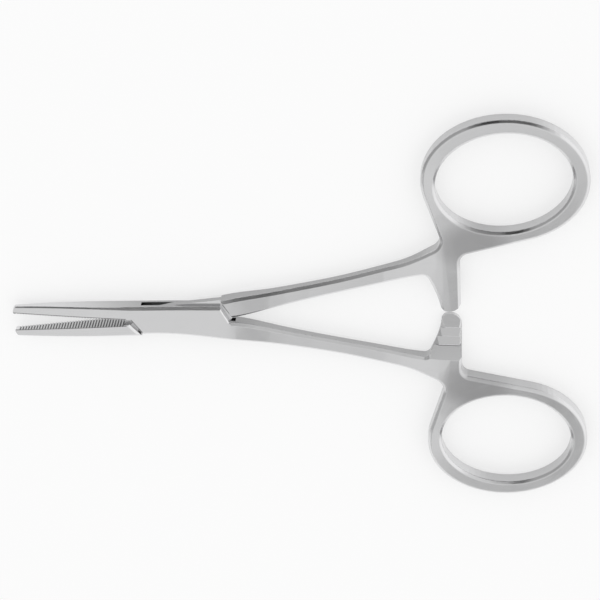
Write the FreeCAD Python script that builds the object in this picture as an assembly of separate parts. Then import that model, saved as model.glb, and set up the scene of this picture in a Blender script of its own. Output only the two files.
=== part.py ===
import FreeCAD, Part
import os
from math import acos, atan2, cos, hypot, pi, radians, sin

# Box lock haemostatic forceps in three pieces, sizes in mm.
# Frame: +X from the pivot to the finger rings, +Z out of the front face, back face on z = 0, pivot axis
# at x = y = 0. Both arms are drawn closed, jaw on -Y with its face on y = 0, handle on +Y. The box arm
# is then turned over about the X axis, and each arm is turned to its resting angle.

# Resting angle between the two jaw faces, degrees
REST_OPENING = 6.0

# Thickness of the blank along the arm: x, thickness
BODY_T = 3.2
ARM_T = ((8.0, BODY_T), (10.0, 3.08), (15.2, 2.55), (20.2, 2.3), (26.0, 2.2), (31.0, 2.2),
         (36.0, 2.25), (41.5, 2.7), (47.0, BODY_T))

# Jaw stations: x, width, thickness, bevel
JAW = ((-29.7, 1.35, 1.0, 0.2), (-24.5, 1.74, 1.7, 0.25), (-18.0, 2.02, 2.5, 0.25))
JAW_ROOT = (-8.9, -2.42)
JAW_BUTT_X = -7.0           # jaw of the inner arm, before its shoulder is cut
TIP_ROUND = 0.6             # corner of the tip on the outer side
TIP_FACE_ROUND = 0.3        # corner of the tip at the jaw face
CLOSED_GAP = 0.02           # between the two rows of crests when closed
JAW_FACE = -CLOSED_GAP / 2
SERRATION_PITCH = 0.5
SERRATION_DEPTH = 0.2
SERRATION_LAND = 0.08       # flat left on each crest
SERRATION_START = 0.4       # from the tip to the first groove
SERRATION_END_X = -9.9

# Box lock
CHEEK_T = 1.05              # each of the two cheeks
WEB_SIDE_CLEAR = 0.03       # web to each cheek
WEB_END_CLEAR = 0.25        # web to the end walls of the slot
WEB_PROUD = 0.15            # web past the jaw edge of the cheeks when closed
WEB_SHY = 0.05              # web short of their handle edge
CHEEK_BACK = (0.0, -2.8)
CHEEK_JAW_END = ((JAW_ROOT[0], JAW_FACE), (-6.6, 2.9))
CHEEK_HANDLE_END = ((8.45, 0.05), (6.8, -3.0))
CHEEK_FRONT = (0.0, 2.8)
SLOT_JAW_END = ((-8.75, 0.0), (-6.95, -2.7))
SLOT_HANDLE_END = ((9.5, 0.0), (7.2, 3.2))
SHOULDER_JAW = ((-9.2, 0.0), (-7.2, -2.6))
SHOULDER_HANDLE = ((8.95, 0.05), (7.3, 3.3))
END_BREAK = 0.22            # bevel on the ends of the cheeks and on the handle's shoulder
SHOULDER_BREAK = 0.4        # bevel on the jaw's shoulder

# Pivot pin
PIN_D = 2.2
PIN_CLEAR = 0.02            # radial, pin to web

# Shank stations: x, inner edge, outer edge
SHANK = ((10.0, 0.12, 3.72), (15.2, 1.03, 4.19), (20.2, 2.05, 4.82), (26.0, 3.10, 5.65),
         (31.0, 3.95, 6.55), (36.0, 4.82, 7.62))
EDGE_BREAK = 0.5            # bevel along box, shanks, neck and rings

# Finger rings
RING_CENTRE = (57.64, 22.68)
RING_HALF = (14.09, 11.38)
RING_TURN = -4.3
RING_WALL = (2.6, 2.29)     # ring to hole along the two half axes
HOLE_SHIFT = (-0.21, -0.26)
HOLE_TURN = 1.5

# Neck between shank, ring and ratchet arm
NECK_OUTER = ((40.5, 8.72), (43.5, 10.0))
NECK_INNER = (40.3, 5.62)
NECK_LEFT = (46.45, 11.3)
NECK_RIGHT = (49.15, 9.3)
CROTCH = (43.2, 5.97)
NECK_LEFT_R = 2.3
NECK_RIGHT_R = 1.6
CROTCH_R = 1.2

# Ratchet arms
RATCHET_FLANK = ((44.3, 3.2), (45.1, 0.3))
RATCHET_LEFT_X = 45.25
RATCHET_CROWN_X = 46.8
RATCHET_RIGHT_X = 48.7
RATCHET_REACH_INNER = 1.25  # of the inner arm past the closing plane
RATCHET_REACH_BOX = 1.8     # of the box arm
RATCHET_LEFT_FALL = 0.6     # of the rounded end, from its crown
RATCHET_RIGHT_FALL = 1.3
RATCHET_GAP = 0.08          # between the two rows of crests
RATCHET_FIRST = 0.54        # first crest from the closing plane
RATCHET_PITCH = 1.72
RATCHET_TEETH = 3
RATCHET_DEPTH = 0.45
RATCHET_LAND = 0.12
RATCHET_SLANTS = ((0.05, 0.8), (0.2, 0.4))      # left and right side, inset at the roots and crests
RATCHET_NOSE_T = 0.6        # of the thin end that leads the teeth in
POCKET_X = 43.4             # left wall of the cut that thins the arm

MID = BODY_T / 2
CREST_Z = MID + RATCHET_GAP / 2
LAST_ROOT_Y = RATCHET_FIRST + (RATCHET_TEETH - 1) * RATCHET_PITCH + RATCHET_LAND
BIG = 100.0
NEAR = 0.001


def at(x, y, z=0.0):
    return FreeCAD.Vector(x, y, z)


def polygon(*points):
    return Part.makePolygon([at(*p) for p in points + points[:1]])


def lines(*points):
    return Part.makePolygon([at(*p) for p in points]).Edges


def curve(*points):
    spline = Part.BSplineCurve()
    spline.interpolate([at(*p) for p in points])
    return [spline.toShape()]


def prism(edges, low=0.0, high=BODY_T):
    outline = Part.Wire(Part.sortEdges(edges)[0])
    outline.translate(at(0, 0, low))
    return Part.Face(outline).extrude(at(0, 0, high - low))


def half_space(a, b):
    """A tall block on the left of the line from a to b."""
    along = at(b[0] - a[0], b[1] - a[1]).normalize() * BIG
    left = at(-along.y, along.x)
    start = at(*a) - along
    corners = [start, start + along * 2, start + along * 2 + left, start + left]
    return prism(polygon(*corners).Edges, -BIG, BIG)


def inset(ends, depth):
    """The line between two points, moved towards the pivot by depth."""
    a, b = (at(*p) for p in ends)
    normal = at(a.y - b.y, b.x - a.x).normalize()
    step = normal * (-depth if normal.dot(a) > 0 else depth)
    return a + step, b + step


def mirrored(ends):
    return tuple((x, -y) for x, y in ends)


def upright_at(shape, point):
    return [e for e in shape.Edges
            if hypot(e.CenterOfMass.x - point[0], e.CenterOfMass.y - point[1]) < NEAR]


def rims(shape, wanted):
    """Edges of the front and back faces whose middle point passes wanted(x, y)."""
    found = []
    for edge in shape.Edges:
        middle = edge.valueAt((edge.FirstParameter + edge.LastParameter) / 2)
        size = edge.BoundBox
        along_rim = size.ZLength < MID and size.XLength > NEAR
        if along_rim and abs(middle.z - MID) > MID / 2 and wanted(middle.x, middle.y):
            found.append(edge)
    return found


def on_line(ends):
    (ax, ay), (bx, by) = ends
    length = hypot(bx - ax, by - ay)
    return lambda x, y: abs((x - ax) * (by - ay) - (y - ay) * (bx - ax)) / length < NEAR


def touch(point, side):
    """Angle at which the line from an outer point touches the outline of the ring."""
    turn = radians(RING_TURN)
    dx, dy = point[0] - RING_CENTRE[0], point[1] - RING_CENTRE[1]
    u = (dx * cos(turn) + dy * sin(turn)) / RING_HALF[0]
    v = (dy * cos(turn) - dx * sin(turn)) / RING_HALF[1]
    return atan2(v, u) + side * acos(1 / hypot(u, v))


def handle_edges(reach):
    """Ring, neck and ratchet arm, from the outer neck point round to the crotch."""
    ring = Part.ArcOfEllipse(Part.Ellipse(at(*RING_CENTRE), *RING_HALF),
                             touch(NECK_RIGHT, 1), touch(NECK_LEFT, -1) + 2 * pi).toShape()
    ring.rotate(at(*RING_CENTRE), at(0, 0, 1), RING_TURN)
    tip_left = (RATCHET_LEFT_X, RATCHET_LEFT_FALL - reach)
    tip_right = (RATCHET_RIGHT_X, RATCHET_RIGHT_FALL - reach)
    crown = Part.Arc(at(*tip_left), at(RATCHET_CROWN_X, -reach), at(*tip_right)).toShape()
    first, last = (ring.valueAt(p) for p in (ring.FirstParameter, ring.LastParameter))
    return (lines(NECK_LEFT, last) + [ring] + lines(first, NECK_RIGHT, tip_right) + [crown]
            + curve(tip_left, *reversed(RATCHET_FLANK), CROTCH))


def thickness_block():
    """Everything between the front and back surfaces of an arm."""
    level = at(1, 0, 0)
    sides = []
    for sign in (1, -1):
        spline = Part.BSplineCurve()
        spline.interpolate(Points=[at(x, 0, MID + sign * t / 2) for x, t in ARM_T],
                           InitialTangent=level, FinalTangent=level)
        sides.append(spline.toShape())
        (x0, t0), (x1, t1) = ARM_T[0], ARM_T[-1]
        sides += lines((x0, 0, MID + sign * t0 / 2), (-BIG, 0, MID + sign * t0 / 2), (-BIG, 0, MID))
        sides += lines((x1, 0, MID + sign * t1 / 2), (BIG, 0, MID + sign * t1 / 2), (BIG, 0, MID))
    outline = Part.Wire(Part.sortEdges(sides)[0])
    outline.translate(at(0, -BIG, 0))
    return Part.Face(outline).extrude(at(0, 2 * BIG, 0))


def ratchet_cut(reach):
    """What the teeth leave free behind the ratchet arm."""
    root = CREST_Z + RATCHET_DEPTH
    steps = [(-reach - MID, BODY_T - RATCHET_NOSE_T), (-reach, BODY_T - RATCHET_NOSE_T)]
    for n in range(RATCHET_TEETH):
        y = RATCHET_FIRST + n * RATCHET_PITCH
        steps += [(y - RATCHET_LAND, CREST_Z), (y, CREST_Z), (y + RATCHET_LAND, root)]
    steps += [(LAST_ROOT_Y + root + MID, -MID), (-reach - MID, -MID)]
    face = Part.Face(polygon(*((POCKET_X, y, z) for y, z in steps)))
    return face.extrude(at(BIG, 0, 0))


def ratchet_slants(reach):
    """Wedges that slant in the two sides of the teeth."""
    right_side = (NECK_RIGHT, (RATCHET_RIGHT_X, RATCHET_RIGHT_FALL - reach))
    wedges = []
    for ends, inwards, (at_root, at_crest) in zip((RATCHET_FLANK, right_side), (1, -1), RATCHET_SLANTS):
        top, low = (at(*p) for p in ends)
        along = (low - top) / (top.y - low.y)
        foot = top + along * (top.y - LAST_ROOT_Y) + at(inwards * at_crest, 0, CREST_Z)
        slope = at(inwards * (at_root - at_crest), 0, RATCHET_DEPTH) * 3
        wedge = Part.Face(polygon(foot - slope, foot + slope, foot + at(slope.x, 0, -slope.z)))
        wedges.append(wedge.extrude(along * (LAST_ROOT_Y + reach + MID)))
    return wedges


def blank(head, outer, inner, reach):
    """An arm from its head to its ring; outer and inner are where the shank curves start."""
    edges = (head
             + curve(*outer, *((x, o) for x, i, o in SHANK), *NECK_OUTER, NECK_LEFT)
             + curve(inner, *((x, i) for x, i, o in SHANK), NECK_INNER, CROTCH)
             + handle_edges(reach))
    solid = prism(edges)
    for point, radius in ((NECK_LEFT, NECK_LEFT_R), (NECK_RIGHT, NECK_RIGHT_R), (CROTCH, CROTCH_R)):
        solid = solid.makeFillet(radius, upright_at(solid, point))
    centre = at(*RING_CENTRE) + at(*HOLE_SHIFT)
    hole = Part.Ellipse(centre, *(h - w for h, w in zip(RING_HALF, RING_WALL))).toShape()
    hole.rotate(centre, at(0, 0, 1), HOLE_TURN)
    return solid.cut(prism([hole])).common(thickness_block())


def break_rims(solid, ends):
    """Wide bevels along the arm, between the given ends and short of the crown of its ratchet."""
    at_end = [on_line(end) for end in ends]
    return solid.makeChamfer(EDGE_BREAK, rims(
        solid, lambda x, y: (y > 0 or x < CHEEK_HANDLE_END[1][0]) and not any(test(x, y) for test in at_end)))


def end_bevels(ends, side, size=END_BREAK):
    """Wedges that bevel an upright end from its foot outwards; side is -1 where it faces the pivot."""
    foot, head = (at(*p) for p in ends)
    along = (head - foot).normalize()
    out = at(along.y, -along.x) * size
    if out.dot(foot) * side < 0:
        out = -out
    wedges = []
    for level, drop in ((BODY_T, -size), (0, size)):
        corners = (foot - out + at(0, 0, level), foot + out + at(0, 0, level),
                   foot + out + at(0, 0, level + 2 * drop))
        wedges.append(Part.Face(polygon(*corners)).extrude(along * 2 * BODY_T))
    return wedges


def jaw(block):
    """A jaw lofted from its rounded tip to the flat face that the block ends in."""
    root = [f for f in block.Faces if abs(f.CenterOfMass.x - JAW_ROOT[0]) < NEAR][0].OuterWire
    sections = []
    for x, width, thick, bevel in JAW:
        low, high = MID - thick / 2, MID + thick / 2
        sections.append(polygon((x, JAW_FACE, low), (x, bevel - width, low), (x, -width, low + bevel),
                                (x, -width, high - bevel), (x, bevel - width, high),
                                (x, JAW_FACE, high)))
    solid = Part.makeLoft(sections + [root], True, False)
    tip_x, tip_width = JAW[0][:2]
    for radius, at_corner in ((TIP_ROUND, lambda y: y < -tip_width / 2),
                              (TIP_FACE_ROUND, lambda y: y > JAW_FACE - NEAR)):
        solid = solid.makeFillet(radius, [
            e for e in solid.Edges if e.BoundBox.XMax < tip_x + NEAR < tip_x + e.BoundBox.ZLength
            and at_corner(e.CenterOfMass.y)])
    return solid


def serrations(start):
    """The grooves across a jaw face, the first one at this distance from the tip."""
    half = (SERRATION_PITCH - SERRATION_LAND) / 2
    x = JAW[0][0] + start + half
    cutters = []
    while x + half < SERRATION_END_X:
        cutters.append(prism(polygon((x - half, JAW_FACE), (x, JAW_FACE - SERRATION_DEPTH),
                                     (x + half, JAW_FACE)).Edges))
        x += SERRATION_PITCH
    return cutters


def pin(clear=0.0):
    return Part.makeCylinder(PIN_D / 2 + clear, BODY_T)


def box_arm():
    """The outer half of the box lock: two cheeks with a slot between them, drawn jaw down."""
    head = (lines(CHEEK_JAW_END[1], CHEEK_JAW_END[0], JAW_ROOT)
            + curve(JAW_ROOT, CHEEK_BACK, CHEEK_HANDLE_END[1]) + lines(*reversed(CHEEK_HANDLE_END)))
    solid = blank(head, (CHEEK_JAW_END[1], CHEEK_FRONT), CHEEK_HANDLE_END[0], RATCHET_REACH_BOX)
    solid = break_rims(solid, (CHEEK_JAW_END, CHEEK_HANDLE_END))
    solid = solid.fuse(jaw(solid))
    slot = half_space(*SLOT_JAW_END).common(half_space(*SLOT_HANDLE_END))
    slot = slot.common(Part.makeBox(BIG, BIG, BODY_T - 2 * CHEEK_T, at(-BIG / 2, -BIG / 2, CHEEK_T)))
    return solid.cut([slot, pin(), ratchet_cut(RATCHET_REACH_BOX)] + ratchet_slants(RATCHET_REACH_BOX)
                     + serrations(SERRATION_START)
                     + end_bevels(CHEEK_JAW_END, 1) + end_bevels(CHEEK_HANDLE_END, 1))


def web():
    """The thin plate of the inner arm that passes through the slot."""
    jaw_end = inset(mirrored(SLOT_JAW_END), WEB_END_CLEAR)
    handle_end = inset(mirrored(SLOT_HANDLE_END), WEB_END_CLEAR)
    shank_x, shank_inner, shank_outer = SHANK[0]
    points = [(JAW_ROOT[0] - MID, JAW_ROOT[1] / 2), *jaw_end, (CHEEK_BACK[0], WEB_PROUD - CHEEK_BACK[1]),
              SHOULDER_HANDLE[1], (shank_x, shank_outer - EDGE_BREAK), (shank_x, shank_inner + EDGE_BREAK),
              *handle_end, (CHEEK_FRONT[0], WEB_SHY - CHEEK_FRONT[1])]
    side = CHEEK_T + WEB_SIDE_CLEAR
    return prism(polygon(*(tuple(p)[:2] for p in points)).Edges, side, BODY_T - side)


def inner_arm():
    """The half whose web runs through the box, with a full shoulder on either side of it."""
    handle = blank(lines(*SHOULDER_HANDLE), (SHOULDER_HANDLE[1],), SHOULDER_HANDLE[0],
                   RATCHET_REACH_INNER)
    handle = break_rims(handle, (SHOULDER_HANDLE,)).cut(end_bevels(SHOULDER_HANDLE, -1))
    slope = (CHEEK_BACK[1] - JAW_ROOT[1]) / (CHEEK_BACK[0] - JAW_ROOT[0])
    butt_end = (JAW_BUTT_X, JAW_ROOT[1] + (JAW_BUTT_X - JAW_ROOT[0]) * slope)
    butt = prism(polygon((JAW_ROOT[0], JAW_FACE), JAW_ROOT, butt_end, (JAW_BUTT_X, JAW_FACE)).Edges)
    butt = butt.makeChamfer(EDGE_BREAK, rims(butt, on_line((JAW_ROOT, butt_end))))
    shoulder_bevels = end_bevels(SHOULDER_JAW, -1, SHOULDER_BREAK)
    front = butt.fuse(jaw(butt)).cut([half_space(*SHOULDER_JAW)] + shoulder_bevels)
    solid = front.fuse([web(), handle]).removeSplitter()
    return solid.cut([pin(PIN_CLEAR), ratchet_cut(RATCHET_REACH_INNER)]
                     + ratchet_slants(RATCHET_REACH_INNER)
                     + serrations(SERRATION_START + SERRATION_PITCH / 2))


def turned(shape, angle):
    shape.rotate(at(0, 0), at(0, 0, 1), angle)
    return shape


def main():
    os.makedirs("parts", exist_ok=True)
    box = box_arm()
    box.rotate(at(0, 0, MID), at(1, 0, 0), 180)
    turned(box, -REST_OPENING / 2).exportStep("parts/box_arm.step")
    turned(inner_arm(), REST_OPENING / 2).exportStep("parts/inner_arm.step")
    pin().exportStep("parts/pivot_pin.step")


main()
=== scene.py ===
import logging
import math
from dataclasses import dataclass
from enum import Enum
from typing import Any

import bmesh
import bpy
import numpy as np
from mathutils import Matrix, Vector


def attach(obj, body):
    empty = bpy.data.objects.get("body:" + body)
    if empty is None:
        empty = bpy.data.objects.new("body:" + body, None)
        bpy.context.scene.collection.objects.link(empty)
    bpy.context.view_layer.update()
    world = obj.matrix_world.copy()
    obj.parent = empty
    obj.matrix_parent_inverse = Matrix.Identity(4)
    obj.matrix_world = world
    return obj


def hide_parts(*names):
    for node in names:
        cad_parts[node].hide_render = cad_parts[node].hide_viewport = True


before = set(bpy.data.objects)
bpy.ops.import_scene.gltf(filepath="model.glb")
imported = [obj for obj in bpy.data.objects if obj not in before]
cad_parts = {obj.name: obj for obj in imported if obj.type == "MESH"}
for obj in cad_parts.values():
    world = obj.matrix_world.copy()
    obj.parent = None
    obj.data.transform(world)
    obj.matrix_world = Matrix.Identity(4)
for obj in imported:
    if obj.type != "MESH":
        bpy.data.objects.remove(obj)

log = logging.getLogger("forceps")

Span = tuple[float, float]
Triple = tuple[float, float, float]

NOISE_MEAN = 0.5


class Body(str, Enum):
    """The moving bodies of the forceps."""

    BOX = "box_side"
    INNER = "inner_side"


class Slot(str, Enum):
    """Material slots of the record."""

    STEEL = "satin_steel"
    PIN = "pin_steel"


class Axis(int, Enum):
    """Axes of a direction."""

    X = 0
    Y = 1
    Z = 2


class Term:
    """A shader socket that takes part in Python expressions."""

    def __init__(self, graph: "Graph", socket: Any) -> None:
        """Keep the output socket and the graph that it is in."""
        self.graph = graph
        self.socket = socket

    def __add__(self, other: Any) -> "Term":
        """Return self + other."""
        return self.graph.math("ADD", self, other)

    __radd__ = __add__

    def __mul__(self, other: Any) -> "Term":
        """Return self * other."""
        return self.graph.math("MULTIPLY", self, other)

    __rmul__ = __mul__

    def __sub__(self, other: Any) -> "Term":
        """Return self - other."""
        return self.graph.math("SUBTRACT", self, other)

    def __rsub__(self, other: Any) -> "Term":
        """Return other - self."""
        return self.graph.math("SUBTRACT", other, self)

    def __truediv__(self, other: Any) -> "Term":
        """Return self / other."""
        return self.graph.math("DIVIDE", self, other)

    def __pow__(self, other: Any) -> "Term":
        """Return self to the power of other."""
        return self.graph.math("POWER", self, other)

    def __abs__(self) -> "Term":
        """Return self without its sign."""
        return self.graph.math("ABSOLUTE", self)

    def at_least(self, other: Any) -> "Term":
        """Return the larger of self and other."""
        return self.graph.math("MAXIMUM", self, other)

    def rising(self, low: float, high: float) -> "Term":
        """Rise smoothly from 0 at low to 1 at high.

        Args:
            low: value that gives 0.
            high: value that gives 1.

        Returns:
            The smooth step.
        """
        return self.graph.term("ShaderNodeMapRange", 0, {"interpolation_type": "SMOOTHSTEP"},
                               {"Value": self, "From Min": low, "From Max": high})

    def falling(self, low: float, high: float) -> "Term":
        """Fall smoothly from 1 at low to 0 at high."""
        return 1.0 - self.rising(low, high)

    def lifted(self, floor: float) -> "Term":
        """Return a mask that goes from floor to 1 where self goes from 0 to 1."""
        return self * (1.0 - floor) + floor


class Graph:
    """A node tree that is filled by Python expressions."""

    def __init__(self, tree: bpy.types.NodeTree) -> None:
        """Keep the tree and empty it."""
        self.tree = tree
        tree.nodes.clear()

    def node(self, kind: str, settings: dict[str, Any] | None = None,
             inputs: dict[Any, Any] | None = None) -> Any:
        """Add a node, set it up and feed it.

        Args:
            kind: type name of the node.
            settings: attributes, set before the inputs.
            inputs: values or links by name or number of the socket.

        Returns:
            The new node.
        """
        node = self.tree.nodes.new(kind)
        for name, value in (settings or {}).items():
            setattr(node, name, value)
        for key, value in (inputs or {}).items():
            if isinstance(value, Term):
                self.tree.links.new(value.socket, node.inputs[key])
            else:
                node.inputs[key].default_value = value
        return node

    def term(self, kind: str, output: Any = 0, settings: dict[str, Any] | None = None,
             inputs: dict[Any, Any] | None = None) -> Term:
        """Add a node and return one of its outputs.

        Args:
            kind: type name of the node.
            output: name or number of the output.
            settings: attributes of the node.
            inputs: values or links of its sockets.

        Returns:
            The output.
        """
        return Term(self, self.node(kind, settings, inputs).outputs[output])

    def math(self, operation: str, *values: Any) -> Term:
        """Add a Math node for numbers or terms, in the order of its inputs, and return its result."""
        return self.term("ShaderNodeMath", 0, {"operation": operation}, dict(enumerate(values)))

    def vector(self, operation: str, *values: Any, output: int = 0) -> Term:
        """Add a Vector Math node for vectors or terms, in the order of its inputs, and return its result."""
        return self.term("ShaderNodeVectorMath", output, {"operation": operation}, dict(enumerate(values)))

    def blend(self, factor: Any, first: Any, second: Any) -> Term:
        """Mix two colours: the first where the factor is 0, the second where it is 1."""
        # Sockets of a Mix node share their names, so they are told apart by number.
        return self.term("ShaderNodeMix", 2, {"data_type": "RGBA"}, {0: factor, 6: first, 7: second})

    def blend_vectors(self, factor: Any, first: Any, second: Any) -> Term:
        """Mix two vectors: the first where the factor is 0, the second where it is 1."""
        return self.term("ShaderNodeMix", 1, {"data_type": "VECTOR"}, {0: factor, 4: first, 5: second})

    def combine(self, *parts: Any) -> Term:
        """Put a vector together from three numbers or terms."""
        return self.term("ShaderNodeCombineXYZ", 0, {}, dict(enumerate(parts)))

    def parts(self, vector: Term) -> list[Term]:
        """Take a vector apart into three terms."""
        return [Term(self, socket) for socket in self.node("ShaderNodeSeparateXYZ", {}, {0: vector}).outputs]

    def surface(self, shader: Term, owner: str = "Material") -> None:
        """Make a shader the surface of the tree's owner, a Material or the World."""
        self.node(f"ShaderNodeOutput{owner}", {}, {"Surface": shader})


def grey(value: float, cool: float = 1.008) -> tuple[float, float, float, float]:
    """Return the very slightly cool grey of polished surgical steel."""
    return value, value, value * cool, 1.0


def oval(x: Term, y: Term, centre: Span, half: Span) -> Term:
    """Tell how far out a place is in an oval.

    Args:
        x: place along X.
        y: place along Y.
        centre: middle of the oval.
        half: half its size along X and along Y.

    Returns:
        0 in the middle, 1 on the rim, more outside.
    """
    across, up = (x - centre[0]) / half[0], (y - centre[1]) / half[1]
    return across * across + up * up


def new_material(name: str) -> tuple[bpy.types.Material, Graph]:
    """Make a material.

    Args:
        name: its name.

    Returns:
        The material, and the graph of its empty node tree.
    """
    material = bpy.data.materials.new(name)
    material.use_nodes = True
    return material, Graph(material.node_tree)


def new_object(name: str, data: Any) -> bpy.types.Object:
    """Put a new object in the scene.

    Args:
        name: its name.
        data: its mesh or camera.

    Returns:
        The object.
    """
    thing = bpy.data.objects.new(name, data)
    bpy.context.scene.collection.objects.link(thing)
    return thing


@dataclass(frozen=True)
class ArmLayout:
    """Where an arm and its features lie.

    An arm is drawn closed with its handle on +Y, turned over where side is -1, then turned. Sizes are in
    metres, angles in degrees. A span is the two places between which a feature of the finish fades.
    """

    turn: float
    side: float
    # The finger ring: its middle, where it starts, the radii between which its grain ends, its mean radius.
    ring: Span = (0.05753, 0.02255)
    ring_start: Span = (0.0415, 0.046)
    ring_rim: Span = (0.0135, 0.0165)
    ring_radius: float = 0.012
    # How the grain leans along the shank, and where the rounder edges start along X and along Y.
    shank_slope: float = 0.2
    round_start: Span = (0.038, 0.044)
    round_side: Span = (0.006, 0.009)
    # The neck: its middle, half its size, and its rim as shares of that.
    neck: Span = (0.0515, 0.0112)
    neck_half: Span = (0.0075, 0.0055)
    neck_rim: Span = (0.05, 1.0)
    # Where the sides get duller, from the jaw to the box.
    box_start: Span = (-0.025, -0.002)
    # The serration: depths of its bottoms and tops below the jaw face, and where the row ends at the box.
    groove_bottom: Span = (-0.00026, -0.00024)
    groove_top: Span = (-0.0002, -0.00004)
    groove_end: Span = (-0.0097, -0.0096)
    # The ratchet: its side along X, and its first and last ramp along Y.
    teeth_start: Span = (0.0435, 0.044)
    first_ramp: Span = (0.00045, 0.00055)
    last_ramp: Span = (0.0042, 0.0043)
    # The slot: its mid height, half its height, and its ends at Y = 0 with their slopes.
    middle: float = 0.0016
    slot_half: Span = (0.00056, 0.0005712)
    slot_jaw: Span = (-0.00875, -0.0087)
    slot_jaw_slope: float = 0.667
    slot_handle: Span = (0.00945, 0.0095)
    slot_handle_slope: float = 0.719

    def drawn(self, graph: Graph, place: Term) -> tuple[Term, Term, Term]:
        """Find the coordinates as the arm is drawn.

        Args:
            graph: graph to add to.
            place: object coordinates.

        Returns:
            The three coordinates.
        """
        turned = graph.term("ShaderNodeMapping", 0, {"vector_type": "POINT"},
                            {"Vector": place, "Rotation": (0.0, 0.0, -math.radians(self.turn))})
        x, y, z = graph.parts(turned)
        return x, y * self.side, z

    def run(self, graph: Graph, x: Term, y: Term, z: Term) -> Term:
        """Find coordinates that run along the arm, and round its finger ring.

        Args:
            graph: graph to add to.
            x: drawn X.
            y: drawn Y.
            z: Z.

        Returns:
            The coordinates.
        """
        away_x, away_y = x - self.ring[0], y - self.ring[1]
        radius = (away_x * away_x + away_y * away_y) ** 0.5
        angle = graph.math("ARCTAN2", away_y, away_x)
        straight = graph.combine(x - y * self.shank_slope, y, z)
        around = graph.combine(angle * self.ring_radius, radius, z)
        return graph.blend_vectors(self.at_ring(x) * radius.falling(*self.ring_rim), straight, around)

    def at_ring(self, x: Term) -> Term:
        """Mask of the part of the arm from the ring on."""
        return x.rising(*self.ring_start)

    def at_round_edges(self, x: Term, y: Term) -> Term:
        """Mask of the ring, whose edges are rounder than those of lock, shank and ratchet."""
        return x.rising(*self.round_start) * y.rising(*self.round_side)

    def at_neck(self, x: Term, y: Term) -> Term:
        """Mask of the place where shank, ring and ratchet arm meet."""
        return oval(x, y, self.neck, self.neck_half).falling(*self.neck_rim)

    def at_slot_height(self, z: Term) -> Term:
        """Mask of what lies between the cheeks of the box, or as high."""
        return abs(z - self.middle).falling(*self.slot_half)

    def at_tooth_ramps(self, x: Term, y: Term, z: Term) -> Term:
        """Mask of the ramps between the crests of the ratchet."""
        along = y.rising(*self.first_ramp) * y.falling(*self.last_ramp)
        return self.at_slot_height(z) * x.rising(*self.teeth_start) * along

    def at_grooves(self, x: Term, y: Term) -> Term:
        """Mask of the grooves of the jaw face."""
        return y.rising(*self.groove_bottom) * y.falling(*self.groove_top) * x.falling(*self.groove_end)

    def at_slot(self, x: Term, y: Term, z: Term) -> Term:
        """Mask of the slot between its slanted ends."""
        past_jaw = (x + y * self.slot_jaw_slope).rising(*self.slot_jaw)
        return self.at_slot_height(z) * past_jaw * (x + y * self.slot_handle_slope).falling(*self.slot_handle)


@dataclass(frozen=True)
class Mottle:
    """Noise with cells of one length along X and one width across it, in metres."""

    length: float
    width: float
    octaves: float
    fine: float = 0.5

    def on(self, graph: Graph, place: Term) -> Term:
        """Read the noise.

        Args:
            graph: graph to add to.
            place: where it is read, in metres.

        Returns:
            The noise, NOISE_MEAN on average.
        """
        cells = (1.0 / self.length, 1.0 / self.width, 1.0 / self.width)
        return graph.term("ShaderNodeTexNoise", 0, {}, {
            "Vector": graph.vector("MULTIPLY", place, cells), "Scale": 1.0, "Detail": self.octaves,
            "Roughness": self.fine})


@dataclass(frozen=True)
class Shares:
    """How much clouds, grain and hairlines add to one property of the steel."""

    cloud: float
    grain: float
    hairline: float

    def of(self, cloud: Term, grain: Term, hairline: Term) -> Term:
        """Return the sum; clouds and grain add nothing at their mean."""
        uneven = (cloud - NOISE_MEAN) * self.cloud + (grain - NOISE_MEAN) * self.grain
        return uneven + hairline * self.hairline


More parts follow.
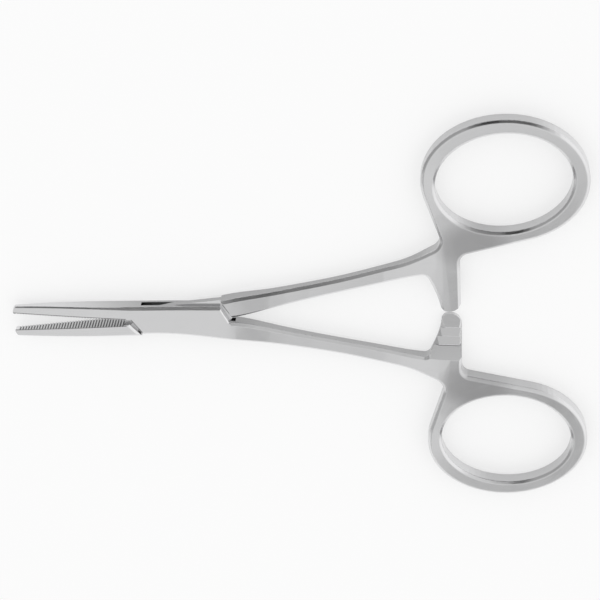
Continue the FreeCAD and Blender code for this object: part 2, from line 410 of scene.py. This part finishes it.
@dataclass(frozen=True)
class SteelFinish:
    """Satin surgical steel: drawn grain, cloudy polish, hairlines, a painted highlight on the edges, painted
    shade in grooves, lock slot, sides and ramps, and a painted dark reflection at the neck.

    Sizes are in metres. The grain runs along the arm, and round its finger ring. Tones are greys, from 0 to
    1, of the metal and of the painted light and shade.
    """

    name: str
    arm: ArmLayout
    bright: float = 0.79
    dull: float = 0.72
    tone: Shares = Shares(0.7, 0.5, -0.22)
    tone_middle: float = 0.55
    # Painted dark reflection at the neck: its grey, and how much the grain streaks it.
    neck_shade: float = 0.56
    neck_streaks: float = 0.5
    side_shade: float = 0.42
    # Painted shade on the upright sides: its grey, its share, how much less on the ring, and which normals
    # count as upright and as facing the rings.
    side_share: float = 0.95
    ring_side_less: float = 0.4
    upright: Span = (0.1, 0.5)
    facing_rings: Span = (0.2, 0.6)
    # Painted shade on the ratchet ramps.
    ramp_shade: float = 0.62
    # Painted highlight on the edges: its grey, its share, how far the normal turns there, and how much less
    # on the ring.
    edge_highlight: float = 0.88
    edge_share: float = 0.5
    edge_turn: Span = (0.01, 0.12)
    ring_edge_less: float = 0.8
    # Painted shade in the recesses: grey of the jaw grooves and the lock slot, and whether the lock slot is
    # painted.
    recess_shade: float = 0.14
    shaded_slot: bool = True
    roughness: float = 0.15
    rough: Shares = Shares(0.09, 0.08, 0.05)
    edge_polish: float = 0.04
    recess_shade_rough: float = 0.2
    grain: Mottle = Mottle(0.005, 0.00006, 2.0)
    grain_height: float = 0.0000012
    grain_strength: float = 0.5
    hairline: Mottle = Mottle(0.009, 0.00025, 1.0)
    hairline_shows: Span = (0.68, 0.76)
    hairline_depth: float = 0.6
    cloud: Mottle = Mottle(0.006, 0.006, 4.0, 0.6)
    crisp_radius: float = 0.0001
    round_radius: float = 0.0003
    bevel_samples: int = 6

    def build(self) -> bpy.types.Material:
        """Make the material.

        Returns:
            The material.
        """
        material, graph = new_material(self.name)
        place = graph.term("ShaderNodeTexCoord", "Object")
        x, y, z = self.arm.drawn(graph, place)
        run = self.arm.run(graph, x, y, z)
        grain = self.grain.on(graph, run)
        hairline = self.hairline.on(graph, run).rising(*self.hairline_shows)
        cloud = self.cloud.on(graph, place)
        normal, edge = self.softened(graph, x, y)
        # Painted shade: the jaw grooves, and on the box arm the lock slot, are painted dark grey and made
        # rougher, as the shade in these recesses.
        recess_shade_mask = self.arm.at_grooves(x, y)
        if self.shaded_slot:
            recess_shade_mask = recess_shade_mask + self.arm.at_slot(x, y, z)
        tone = self.tone.of(cloud, grain, hairline) + self.tone_middle
        colour = graph.blend(tone, grey(self.dull), grey(self.bright))
        # Painted dark reflection: the neck, where shank, ring and ratchet arm meet, is painted darker, in
        # streaks along the grain.
        neck_shade_mask = (grain - NOISE_MEAN) * self.neck_streaks + 1.0
        for mask, layer in ((self.arm.at_neck(x, y) * neck_shade_mask, self.neck_shade),
                            # painted shade on the upright sides
                            (self.at_shaded_sides(graph, x), self.side_shade),
                            # painted shade on the ratchet ramps
                            (self.arm.at_tooth_ramps(x, y, z), self.ramp_shade),
                            # painted highlight on the edges
                            (edge * self.edge_share, self.edge_highlight),
                            # painted shade in the jaw grooves and the lock slot
                            (recess_shade_mask, self.recess_shade)):
            colour = graph.blend(mask, colour, grey(layer))
        rough = self.rough.of(cloud, grain, hairline) + self.roughness
        rough = rough - edge * self.edge_polish + recess_shade_mask * self.recess_shade_rough
        bump = graph.term("ShaderNodeBump", 0, {}, {
            "Height": grain - hairline * self.hairline_depth, "Distance": self.grain_height,
            "Strength": self.grain_strength, "Normal": normal})
        graph.surface(graph.term("ShaderNodeBsdfPrincipled", 0, {}, {
            "Base Color": colour, "Roughness": rough, "Normal": bump, "Metallic": 1.0}))
        return material

    def at_shaded_sides(self, graph: Graph, x: Term) -> Term:
        """Mask the upright sides of box, shank and ring that are painted darker as shade, apart from those
        that face the rings' end.

        Args:
            graph: graph to add to.
            x: drawn X.

        Returns:
            The mask.
        """
        right, _, rise = graph.parts(graph.term("ShaderNodeNewGeometry", "Normal"))
        sides = abs(rise).falling(*self.upright) * right.falling(*self.facing_rings)
        share = self.side_share - self.arm.at_ring(x) * self.ring_side_less
        return sides * x.rising(*self.arm.box_start) * share

    def softened(self, graph: Graph, x: Term, y: Term) -> tuple[Term, Term]:
        """Round the edges as polishing leaves them, more on the ring than on lock and ratchet.

        Args:
            graph: graph to add to.
            x: drawn X.
            y: drawn Y.

        Returns:
            The normal, and a mask of the edges.
        """
        crisp, rounded = (
            graph.term("ShaderNodeBevel", 0, {"samples": self.bevel_samples}, {"Radius": radius})
            for radius in (self.crisp_radius, self.round_radius))
        facet = graph.term("ShaderNodeNewGeometry", "Normal")
        edge = (1.0 - graph.vector("DOT_PRODUCT", crisp, facet, output=1)).rising(*self.edge_turn)
        ring = self.arm.at_round_edges(x, y)
        normal = graph.vector("NORMALIZE", graph.blend_vectors(ring, crisp, rounded))
        return normal, edge * (1.0 - ring * self.ring_edge_less)


@dataclass
class Forging:
    """One piece of steel, drawn from its CAD solid with evenly smoothed curved faces.

    Sizes are in metres, angles in degrees. Points closer than weld are merged. The handle is cut across every
    cut_step, through the points closer than snap. An edge sharper than crease stays, and on the ratchet one
    sharper than tooth_crease, between faces that lean along X by less than ramp_lean.
    """

    node: str
    body: Body
    slot: Slot
    finish: SteelFinish
    crease: float = 24.0
    tooth_crease: float = 8.0
    teeth_from: float = 0.043
    teeth_to: float = 0.0495
    teeth_reach: float = 0.008
    ramp_lean: float = 0.15
    weld: float = 1e-6
    snap: float = 3e-5
    cuts_from: float = 0.0075
    cuts_to: float = 0.0715
    cut_step: float = 0.001
    rounds: int = 14
    normal_steps: float = 2000.0

    def build(self) -> bpy.types.Object:
        """Make the smooth copy, dress it and let it stand for the CAD node.

        Returns:
            The new piece.
        """
        mesh = self.welded_copy()
        mesh.materials.clear()
        mesh.materials.append(self.finish.build())
        mesh.polygons.foreach_set("use_smooth", [True] * len(mesh.polygons))
        mesh.set_sharp_from_angle(angle=math.radians(self.crease))
        self.crease_teeth(mesh)
        self.even_out(mesh)
        piece = new_object(mesh.name, mesh)
        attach(piece, self.body.value)
        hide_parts(self.node)
        log.info("%s: %d faces", piece.name, len(mesh.polygons))
        return piece

    def welded_copy(self) -> bpy.types.Mesh:
        """Merge the CAD triangles and cut the long ones along the handle.

        Returns:
            The new mesh.
        """
        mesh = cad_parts[self.node].data.copy()
        mesh.name = f"{self.node}_steel"
        # The CAD mesh brings normals of its own, which would hide the smoothed ones.
        if "custom_normal" in mesh.attributes:
            mesh.attributes.remove(mesh.attributes["custom_normal"])
        welded = bmesh.new()
        welded.from_mesh(mesh)
        bmesh.ops.remove_doubles(welded, verts=welded.verts, dist=self.weld)
        # A long triangle has normals at its far ends only, so it is cut where the handle bends.
        x = self.cuts_from
        while x < self.cuts_to:
            reached = [face for face in welded.faces
                       if min(v.co.x for v in face.verts) < x < max(v.co.x for v in face.verts)]
            edges = {edge for face in reached for edge in face.edges}
            verts = {vert for face in reached for vert in face.verts}
            bmesh.ops.bisect_plane(welded, geom=[*verts, *edges, *reached], dist=self.snap,
                                   plane_co=(x, 0.0, 0.0), plane_no=(1.0, 0.0, 0.0))
            x += self.cut_step
        welded.to_mesh(mesh)
        welded.free()
        return mesh

    def crease_teeth(self, mesh: bpy.types.Mesh) -> None:
        """Keep the shallow edges between the ramps of the ratchet crisp.

        Args:
            mesh: the piece's mesh.
        """
        solid = bmesh.new()
        solid.from_mesh(mesh)
        for edge in solid.edges:
            if self.parts_ramps(edge):
                edge.smooth = False
        solid.to_mesh(mesh)
        solid.free()

    def parts_ramps(self, edge: bmesh.types.BMEdge) -> bool:
        """Tell whether an edge lies between two ramps of the ratchet.

        Args:
            edge: an edge of the piece.

        Returns:
            True where it does.
        """
        place = (edge.verts[0].co + edge.verts[1].co) / 2
        if not self.teeth_from < place.x < self.teeth_to or abs(place.y) >= self.teeth_reach:
            return False
        if len(edge.link_faces) != 2 or edge.calc_face_angle(0.0) <= math.radians(self.tooth_crease):
            return False
        return all(abs(face.normal.x) < self.ramp_lean for face in edge.link_faces)

    def even_out(self, mesh: bpy.types.Mesh) -> None:
        """Spread the normals within each smooth face, so that reflections run evenly.

        Corners at one vertex count as one where their normals are equal to 1 / normal_steps. In each round a
        face takes the mean of its corners, and a corner the mean of its faces, weighed by their areas.

        Args:
            mesh: the piece's mesh, with its sharp edges set.
        """
        corners = np.array([c.vector for c in mesh.corner_normals])
        vert = np.array([loop.vertex_index for loop in mesh.loops])
        sizes = np.array([p.loop_total for p in mesh.polygons])
        areas = np.array([p.area for p in mesh.polygons])
        face = np.repeat(np.arange(len(sizes)), sizes)
        keys = np.column_stack([vert, np.round(corners * self.normal_steps)])
        _, first, fan = np.unique(keys, axis=0, return_index=True, return_inverse=True)
        fan = fan.reshape(-1)
        normals = corners[first]
        for _ in range(self.rounds):
            mean = np.zeros((len(sizes), 3))
            np.add.at(mean, face, normals[fan])
            mean *= (areas / sizes)[:, None]
            spread = np.zeros_like(normals)
            np.add.at(spread, fan, mean[face])
            length = np.linalg.norm(spread, axis=1, keepdims=True)
            normals = np.where(length > 0.0, spread / np.maximum(length, np.finfo(float).tiny), normals)
        mesh.normals_split_custom_set(normals[fan].tolist())


@dataclass
class CrestRow:
    """A row of crest lands on a CAD solid: which way they face and run, and how wide they are.

    Sizes are in metres. A face is a land where its normal agrees with facing to the cosine aligned, it is
    longer than shortest, and its mean width is less than widest half widths.
    """

    facing: Vector
    along: Vector
    half_width: float
    shortest: float
    half_height: float = 0.000012
    proud: float = 0.000004
    aligned: float = 0.9995
    widest: float = 2.8

    def on(self, solid: bmesh.types.BMesh) -> list[tuple[Vector, float]]:
        """Find the flat strips that face the row's way.

        Args:
            solid: the CAD solid, with one face for each flat area.

        Returns:
            Centre and length of each strip.
        """
        lands = []
        for face in solid.faces:
            if face.normal.dot(self.facing) < self.aligned:
                continue
            reach = [vert.co.dot(self.along) for vert in face.verts]
            length = max(reach) - min(reach)
            if length > self.shortest and face.calc_area() < length * self.half_width * self.widest:
                lands.append((face.calc_center_median_weighted(), length))
        return lands

    def turn(self) -> Vector:
        """Return the Euler angles that lay a bar's Z along the row and its Y out of the land."""
        basis = Matrix((self.facing.cross(self.along), self.facing, self.along)).transposed()
        return Vector(basis.to_euler())


@dataclass
class CrestLands:
    """Worn, rounded lands on the crests of the jaw serrations or of the ratchet teeth.

    Each is a bar with an oval section, whose width varies by the share wear. Sizes are in metres, flat is in
    radians and crease in degrees.
    """

    node: str
    kind: str
    body: Body
    finish: SteelFinish
    row: CrestRow
    weld: float = 1e-6
    flat: float = 0.01
    crease: float = 60.0
    sides: int = 10
    wear: float = 0.12
    seed: int = 7

    def build(self) -> bpy.types.Object:
        """Make the lands as one plain mesh.

        Returns:
            The new piece.
        """
        carrier = self.points()
        tree, sockets = self.tree()
        modifier = carrier.modifiers.new("crests", "NODES")
        modifier.node_group = tree
        for name, value in (("Sides", self.sides), ("Wear", self.wear), ("Seed", self.seed)):
            modifier[sockets[name]] = value
        carrier.update_tag()
        mesh = bpy.data.meshes.new_from_object(carrier.evaluated_get(bpy.context.evaluated_depsgraph_get()))
        carrier.modifiers.clear()
        bpy.data.objects.remove(carrier)
        mesh.name = f"{self.node}_{self.kind}_crests"
        mesh.polygons.foreach_set("use_smooth", [True] * len(mesh.polygons))
        mesh.set_sharp_from_angle(angle=math.radians(self.crease))
        piece = new_object(mesh.name, mesh)
        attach(piece, self.body.value)
        log.info("%s: %d faces", piece.name, len(mesh.polygons))
        return piece

    def points(self) -> bpy.types.Object:
        """Put a point with its bar's size and turn on each land.

        Returns:
            The carrier of the points.
        """
        solid = bmesh.new()
        solid.from_mesh(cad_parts[self.node].data)
        bmesh.ops.remove_doubles(solid, verts=solid.verts, dist=self.weld)
        bmesh.ops.dissolve_limit(solid, angle_limit=self.flat, verts=solid.verts, edges=solid.edges)
        row, lands = self.row, self.row.on(solid)
        solid.free()
        log.info("%s: %d %s crests", self.node, len(lands), self.kind)
        places = [centre - row.facing * (row.half_height - row.proud) for centre, _ in lands]
        sizes = [part for _, length in lands for part in (row.half_width, row.half_height, length)]
        turns = [part for _ in lands for part in row.turn()]
        mesh = bpy.data.meshes.new("crest_points")
        mesh.from_pydata(places, [], [])
        for name, values in (("size", sizes), ("turn", turns)):
            mesh.attributes.new(name, "FLOAT_VECTOR", "POINT").data.foreach_set("vector", values)
        return new_object("crest_points", mesh)

    def tree(self) -> tuple[bpy.types.NodeTree, dict[str, str]]:
        """Build the node tree that sets one rounded bar on each point.

        Returns:
            The tree, and the identifier of each input by its name.
        """
        tree = bpy.data.node_groups.new("worn_crests", "GeometryNodeTree")
        ports = {"Points": "NodeSocketGeometry", "Sides": "NodeSocketInt", "Wear": "NodeSocketFloat",
                 "Seed": "NodeSocketInt"}
        sockets = {name: tree.interface.new_socket(name, in_out="INPUT", socket_type=kind).identifier
                   for name, kind in ports.items()}
        tree.interface.new_socket("Lands", in_out="OUTPUT", socket_type="NodeSocketGeometry")
        graph = Graph(tree)
        given = graph.node("NodeGroupInput")
        points, sides, wear, seed = (Term(graph, given.outputs[name]) for name in ports)
        size, turn = (graph.term("GeometryNodeInputNamedAttribute", "Attribute",
                                 {"data_type": "FLOAT_VECTOR"}, {"Name": name}) for name in ("size", "turn"))
        worn = graph.term("FunctionNodeRandomValue", 1, {"data_type": "FLOAT"},
                          {2: 1.0 - wear, 3: 1.0 + wear, "Seed": seed})
        bar = graph.term("GeometryNodeMeshCylinder", "Mesh", {"fill_type": "NGON"},
                         {"Vertices": sides, "Radius": 1.0, "Depth": 1.0})
        scale = graph.vector("MULTIPLY", size, graph.combine(worn, 1.0, 1.0))
        placed = graph.term("GeometryNodeInstanceOnPoints", "Instances", {}, {
            "Points": points, "Instance": bar, "Rotation": turn, "Scale": scale})
        solid = graph.term("GeometryNodeRealizeInstances", "Geometry", {}, {"Geometry": placed})
        dressed = graph.term("GeometryNodeSetMaterial", "Geometry", {}, {
            "Geometry": solid, "Material": self.finish.build()})
        graph.node("NodeGroupOutput", {}, {0: dressed})
        return tree, sockets


@dataclass
class Arm:
    """One forging with the worn crests of its jaw and of its ratchet. Sizes are in metres."""

    node: str
    body: Body
    layout: ArmLayout
    # Whether the lock slot is painted dark as shade.
    shaded_slot: bool
    serration_half_width: float = 0.00004
    serration_shortest: float = 0.0008
    ratchet_half_width: float = 0.00008
    ratchet_shortest: float = 0.0018

    def build(self) -> None:
        """Build the forging, then the lands on its jaw face and on its ratchet."""
        satin = SteelFinish(f"{self.node}_satin", self.layout, shaded_slot=self.shaded_slot)
        Forging(self.node, self.body, Slot.STEEL, satin).build()
        swing = math.radians(self.layout.turn)
        up = Vector((0.0, 0.0, 1.0))
        run = Vector((math.cos(swing), math.sin(swing), 0.0))
        # Painted shade: the serration crests get a much darker copy of the steel.
        worn = SteelFinish(f"{self.node}_worn", self.layout, bright=0.42, dull=0.33)
        jaw_row = CrestRow(up.cross(run) * self.layout.side, up, self.serration_half_width,
                           self.serration_shortest)
        CrestLands(self.node, "serration", self.body, worn, jaw_row).build()
        # The ratchet crests are smoother from rubbing, and their steel is painted brighter as a highlight.
        rubbed_highlight = SteelFinish(f"{self.node}_rubbed", self.layout, bright=0.95, dull=0.92, ramp_shade=0.95,
                             roughness=0.08)
        tooth_row = CrestRow(up * -self.layout.side, run, self.ratchet_half_width, self.ratchet_shortest)
        CrestLands(self.node, "ratchet", self.body, rubbed_highlight, tooth_row).build()


@dataclass(frozen=True)
class Panel:
    """A soft-edged panel of the room.

    Each edge is an axis and two places along it: the panel fades in from the first to the second, where the
    second is larger, and otherwise out. A panel with light below 0 is dark.
    """

    light: float
    edges: tuple[tuple[Axis, float, float], ...]

    def shown(self, way: list[Term]) -> Term:
        """Find the light that the panel adds.

        Args:
            way: the three parts of the direction.

        Returns:
            The light.
        """
        fades = (way[axis].rising(first, last) if first < last else way[axis].falling(last, first)
                 for axis, first, last in self.edges)
        return math.prod(fades, start=self.light)


@dataclass(frozen=True)
class Room:
    """The pale room, and what the steel mirrors in it.

    Places are directions of length 1: +X to the rings, +Y to the upper edge of the picture, +Z up. A span is
    the two places between which a thing fades. The dark wall stands on the camera's side. Its lower part is
    darkest to the right of lower_left, its upper part between strip_left and strip_right.
    """

    bright: float = 0.79
    least: float = 0.03
    wall_dark: float = 0.78
    wall_way: Span = (-0.6, 0.8)
    wall_edge: Span = (0.1, 0.5)
    lower_top: Span = (0.43, 0.48)
    lower_left: Span = (-0.55, -0.3)
    lower_least: float = 0.45
    upper_top: Span = (0.502, 0.525)
    upper_right: Span = (0.15, 0.4)
    strip_left: Span = (-0.4, -0.25)
    strip_right: Span = (-0.08, 0.05)
    upper_least: float = 0.5
    card_dark: float = 0.4
    card_centre: Span = (0.03, -0.515)
    card_half: Span = (0.085, 0.08)
    card_rim: Span = (0.0, 1.6)
    card_height: Span = (0.5, 0.7)
    window: Panel = Panel(0.26, ((Axis.X, 0.62, 0.85), (Axis.Z, -0.1, 0.1)))
    overhead: Panel = Panel(-0.26, ((Axis.Y, 0.1, 0.22), (Axis.Z, 0.9, 0.95)))
    beside: Panel = Panel(-0.6, ((Axis.X, -0.5, -0.65), (Axis.Y, -0.2, -0.35), (Axis.Z, 0.2, 0.3),
                                 (Axis.Z, 0.6, 0.5)))

    def build(self) -> None:
        """Light the part evenly; only what is mirrored sees wall, card and panels."""
        world = bpy.data.worlds.new("room")
        bpy.context.scene.world = world
        world.use_nodes = True
        graph = Graph(world.node_tree)
        way = graph.parts(graph.term("ShaderNodeTexCoord", "Generated"))
        shown = self.bright - self.wall(*way) * self.wall_dark - self.card(*way) * self.card_dark
        for panel in (self.window, self.overhead, self.beside):
            shown = shown + panel.shown(way)
        glossy = graph.term("ShaderNodeLightPath", "Is Glossy Ray")
        level = shown.at_least(self.least) * glossy + (1.0 - glossy)
        back = graph.term("ShaderNodeBackground", 0, {}, {"Color": (1.0, 1.0, 1.0, 1.0), "Strength": level})
        graph.surface(back, "World")

    def wall(self, x: Term, y: Term, z: Term) -> Term:
        """Mask the dark wall.

        Args:
            x: part of the direction along X.
            y: part of the direction along Y.
            z: part of the direction along Z.

        Returns:
            The mask.
        """
        lower = z.falling(*self.lower_top) * x.rising(*self.lower_left).lifted(self.lower_least)
        strip = x.rising(*self.strip_left) * x.falling(*self.strip_right)
        upper = strip.lifted(self.upper_least) * x.falling(*self.upper_right) * z.falling(*self.upper_top)
        return lower.at_least(upper) * (y * self.wall_way[1] + x * self.wall_way[0]).rising(*self.wall_edge)

    def card(self, x: Term, y: Term, z: Term) -> Term:
        """Mask of the oval dark card."""
        inside = oval(x, y, self.card_centre, self.card_half).falling(*self.card_rim)
        return inside * z.rising(*self.card_height)


@dataclass
class Studio:
    """Pale table, the room and the camera. Sizes are in metres."""

    camera_place: Triple = (0.0515276, 0.1848577, 0.3208181)
    camera_right: Triple = (0.996398, -0.055388, -0.064211)
    camera_up: Triple = (0.016306, 0.868227, -0.4959)
    camera_clip: Span = (0.01, 20.0)
    focal_px: float = 2129.443
    frame_px: float = 600.0
    sensor_mm: float = 36.0
    table_half: float = 1.5
    table_drop: float = 0.00005
    table_white: float = 0.93
    table_glow: float = 0.55

    def build(self) -> None:
        """Set up camera, table and light."""
        self.place_camera()
        self.lay_table()
        Room().build()
        bpy.context.scene.view_settings.view_transform = "Standard"

    def place_camera(self) -> None:
        """Put the camera where the photograph was taken from."""
        data = bpy.data.cameras.new("camera")
        data.sensor_width = self.sensor_mm
        data.lens = self.focal_px / self.frame_px * self.sensor_mm
        data.clip_start, data.clip_end = self.camera_clip
        camera = new_object("camera", data)
        right, up = Vector(self.camera_right), Vector(self.camera_up)
        turn = Matrix((right, up, right.cross(up))).transposed().to_4x4()
        camera.matrix_world = Matrix.Translation(self.camera_place) @ turn
        bpy.context.scene.camera = camera

    def lay_table(self) -> None:
        """Lay the white table that the part rests on; the camera and the steel see it a little brighter."""
        half, level = self.table_half, -self.table_drop
        mesh = bpy.data.meshes.new("table")
        corners = [(-half, -half, level), (half, -half, level), (half, half, level), (-half, half, level)]
        mesh.from_pydata(corners, [], [(0, 1, 2, 3)])
        table = new_object("table", mesh)
        material, graph = new_material("table_white")
        white = (self.table_white, self.table_white, self.table_white, 1.0)
        matt = graph.term("ShaderNodeBsdfDiffuse", 0, {}, {"Color": white})
        glow = graph.term("ShaderNodeEmission", 0, {}, {"Strength": 1.0})
        seen, *mirrored = (graph.term("ShaderNodeLightPath", f"Is {kind} Ray")
                           for kind in ("Camera", "Glossy", "Transmission"))
        for ray in mirrored:
            seen = seen + ray
        lit = graph.term("ShaderNodeMixShader", 0, {}, {0: seen * self.table_glow, 1: matt, 2: glow})
        graph.surface(lit)
        mesh.materials.append(material)


def main() -> None:
    """Build the scene."""
    logging.basicConfig(level=logging.INFO, format="%(name)s %(message)s")
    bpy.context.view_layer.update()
    box_layout = ArmLayout(turn=-3.0, side=-1.0)
    inner_layout = ArmLayout(turn=3.0, side=1.0)
    Arm("box_arm", Body.BOX, box_layout, shaded_slot=True).build()
    Arm("inner_arm", Body.INNER, inner_layout, shaded_slot=False).build()
    Forging("pivot_pin", Body.BOX, Slot.PIN, SteelFinish("pin_satin", box_layout)).build()
    Studio().build()


if __name__ == "__main__":
    main()
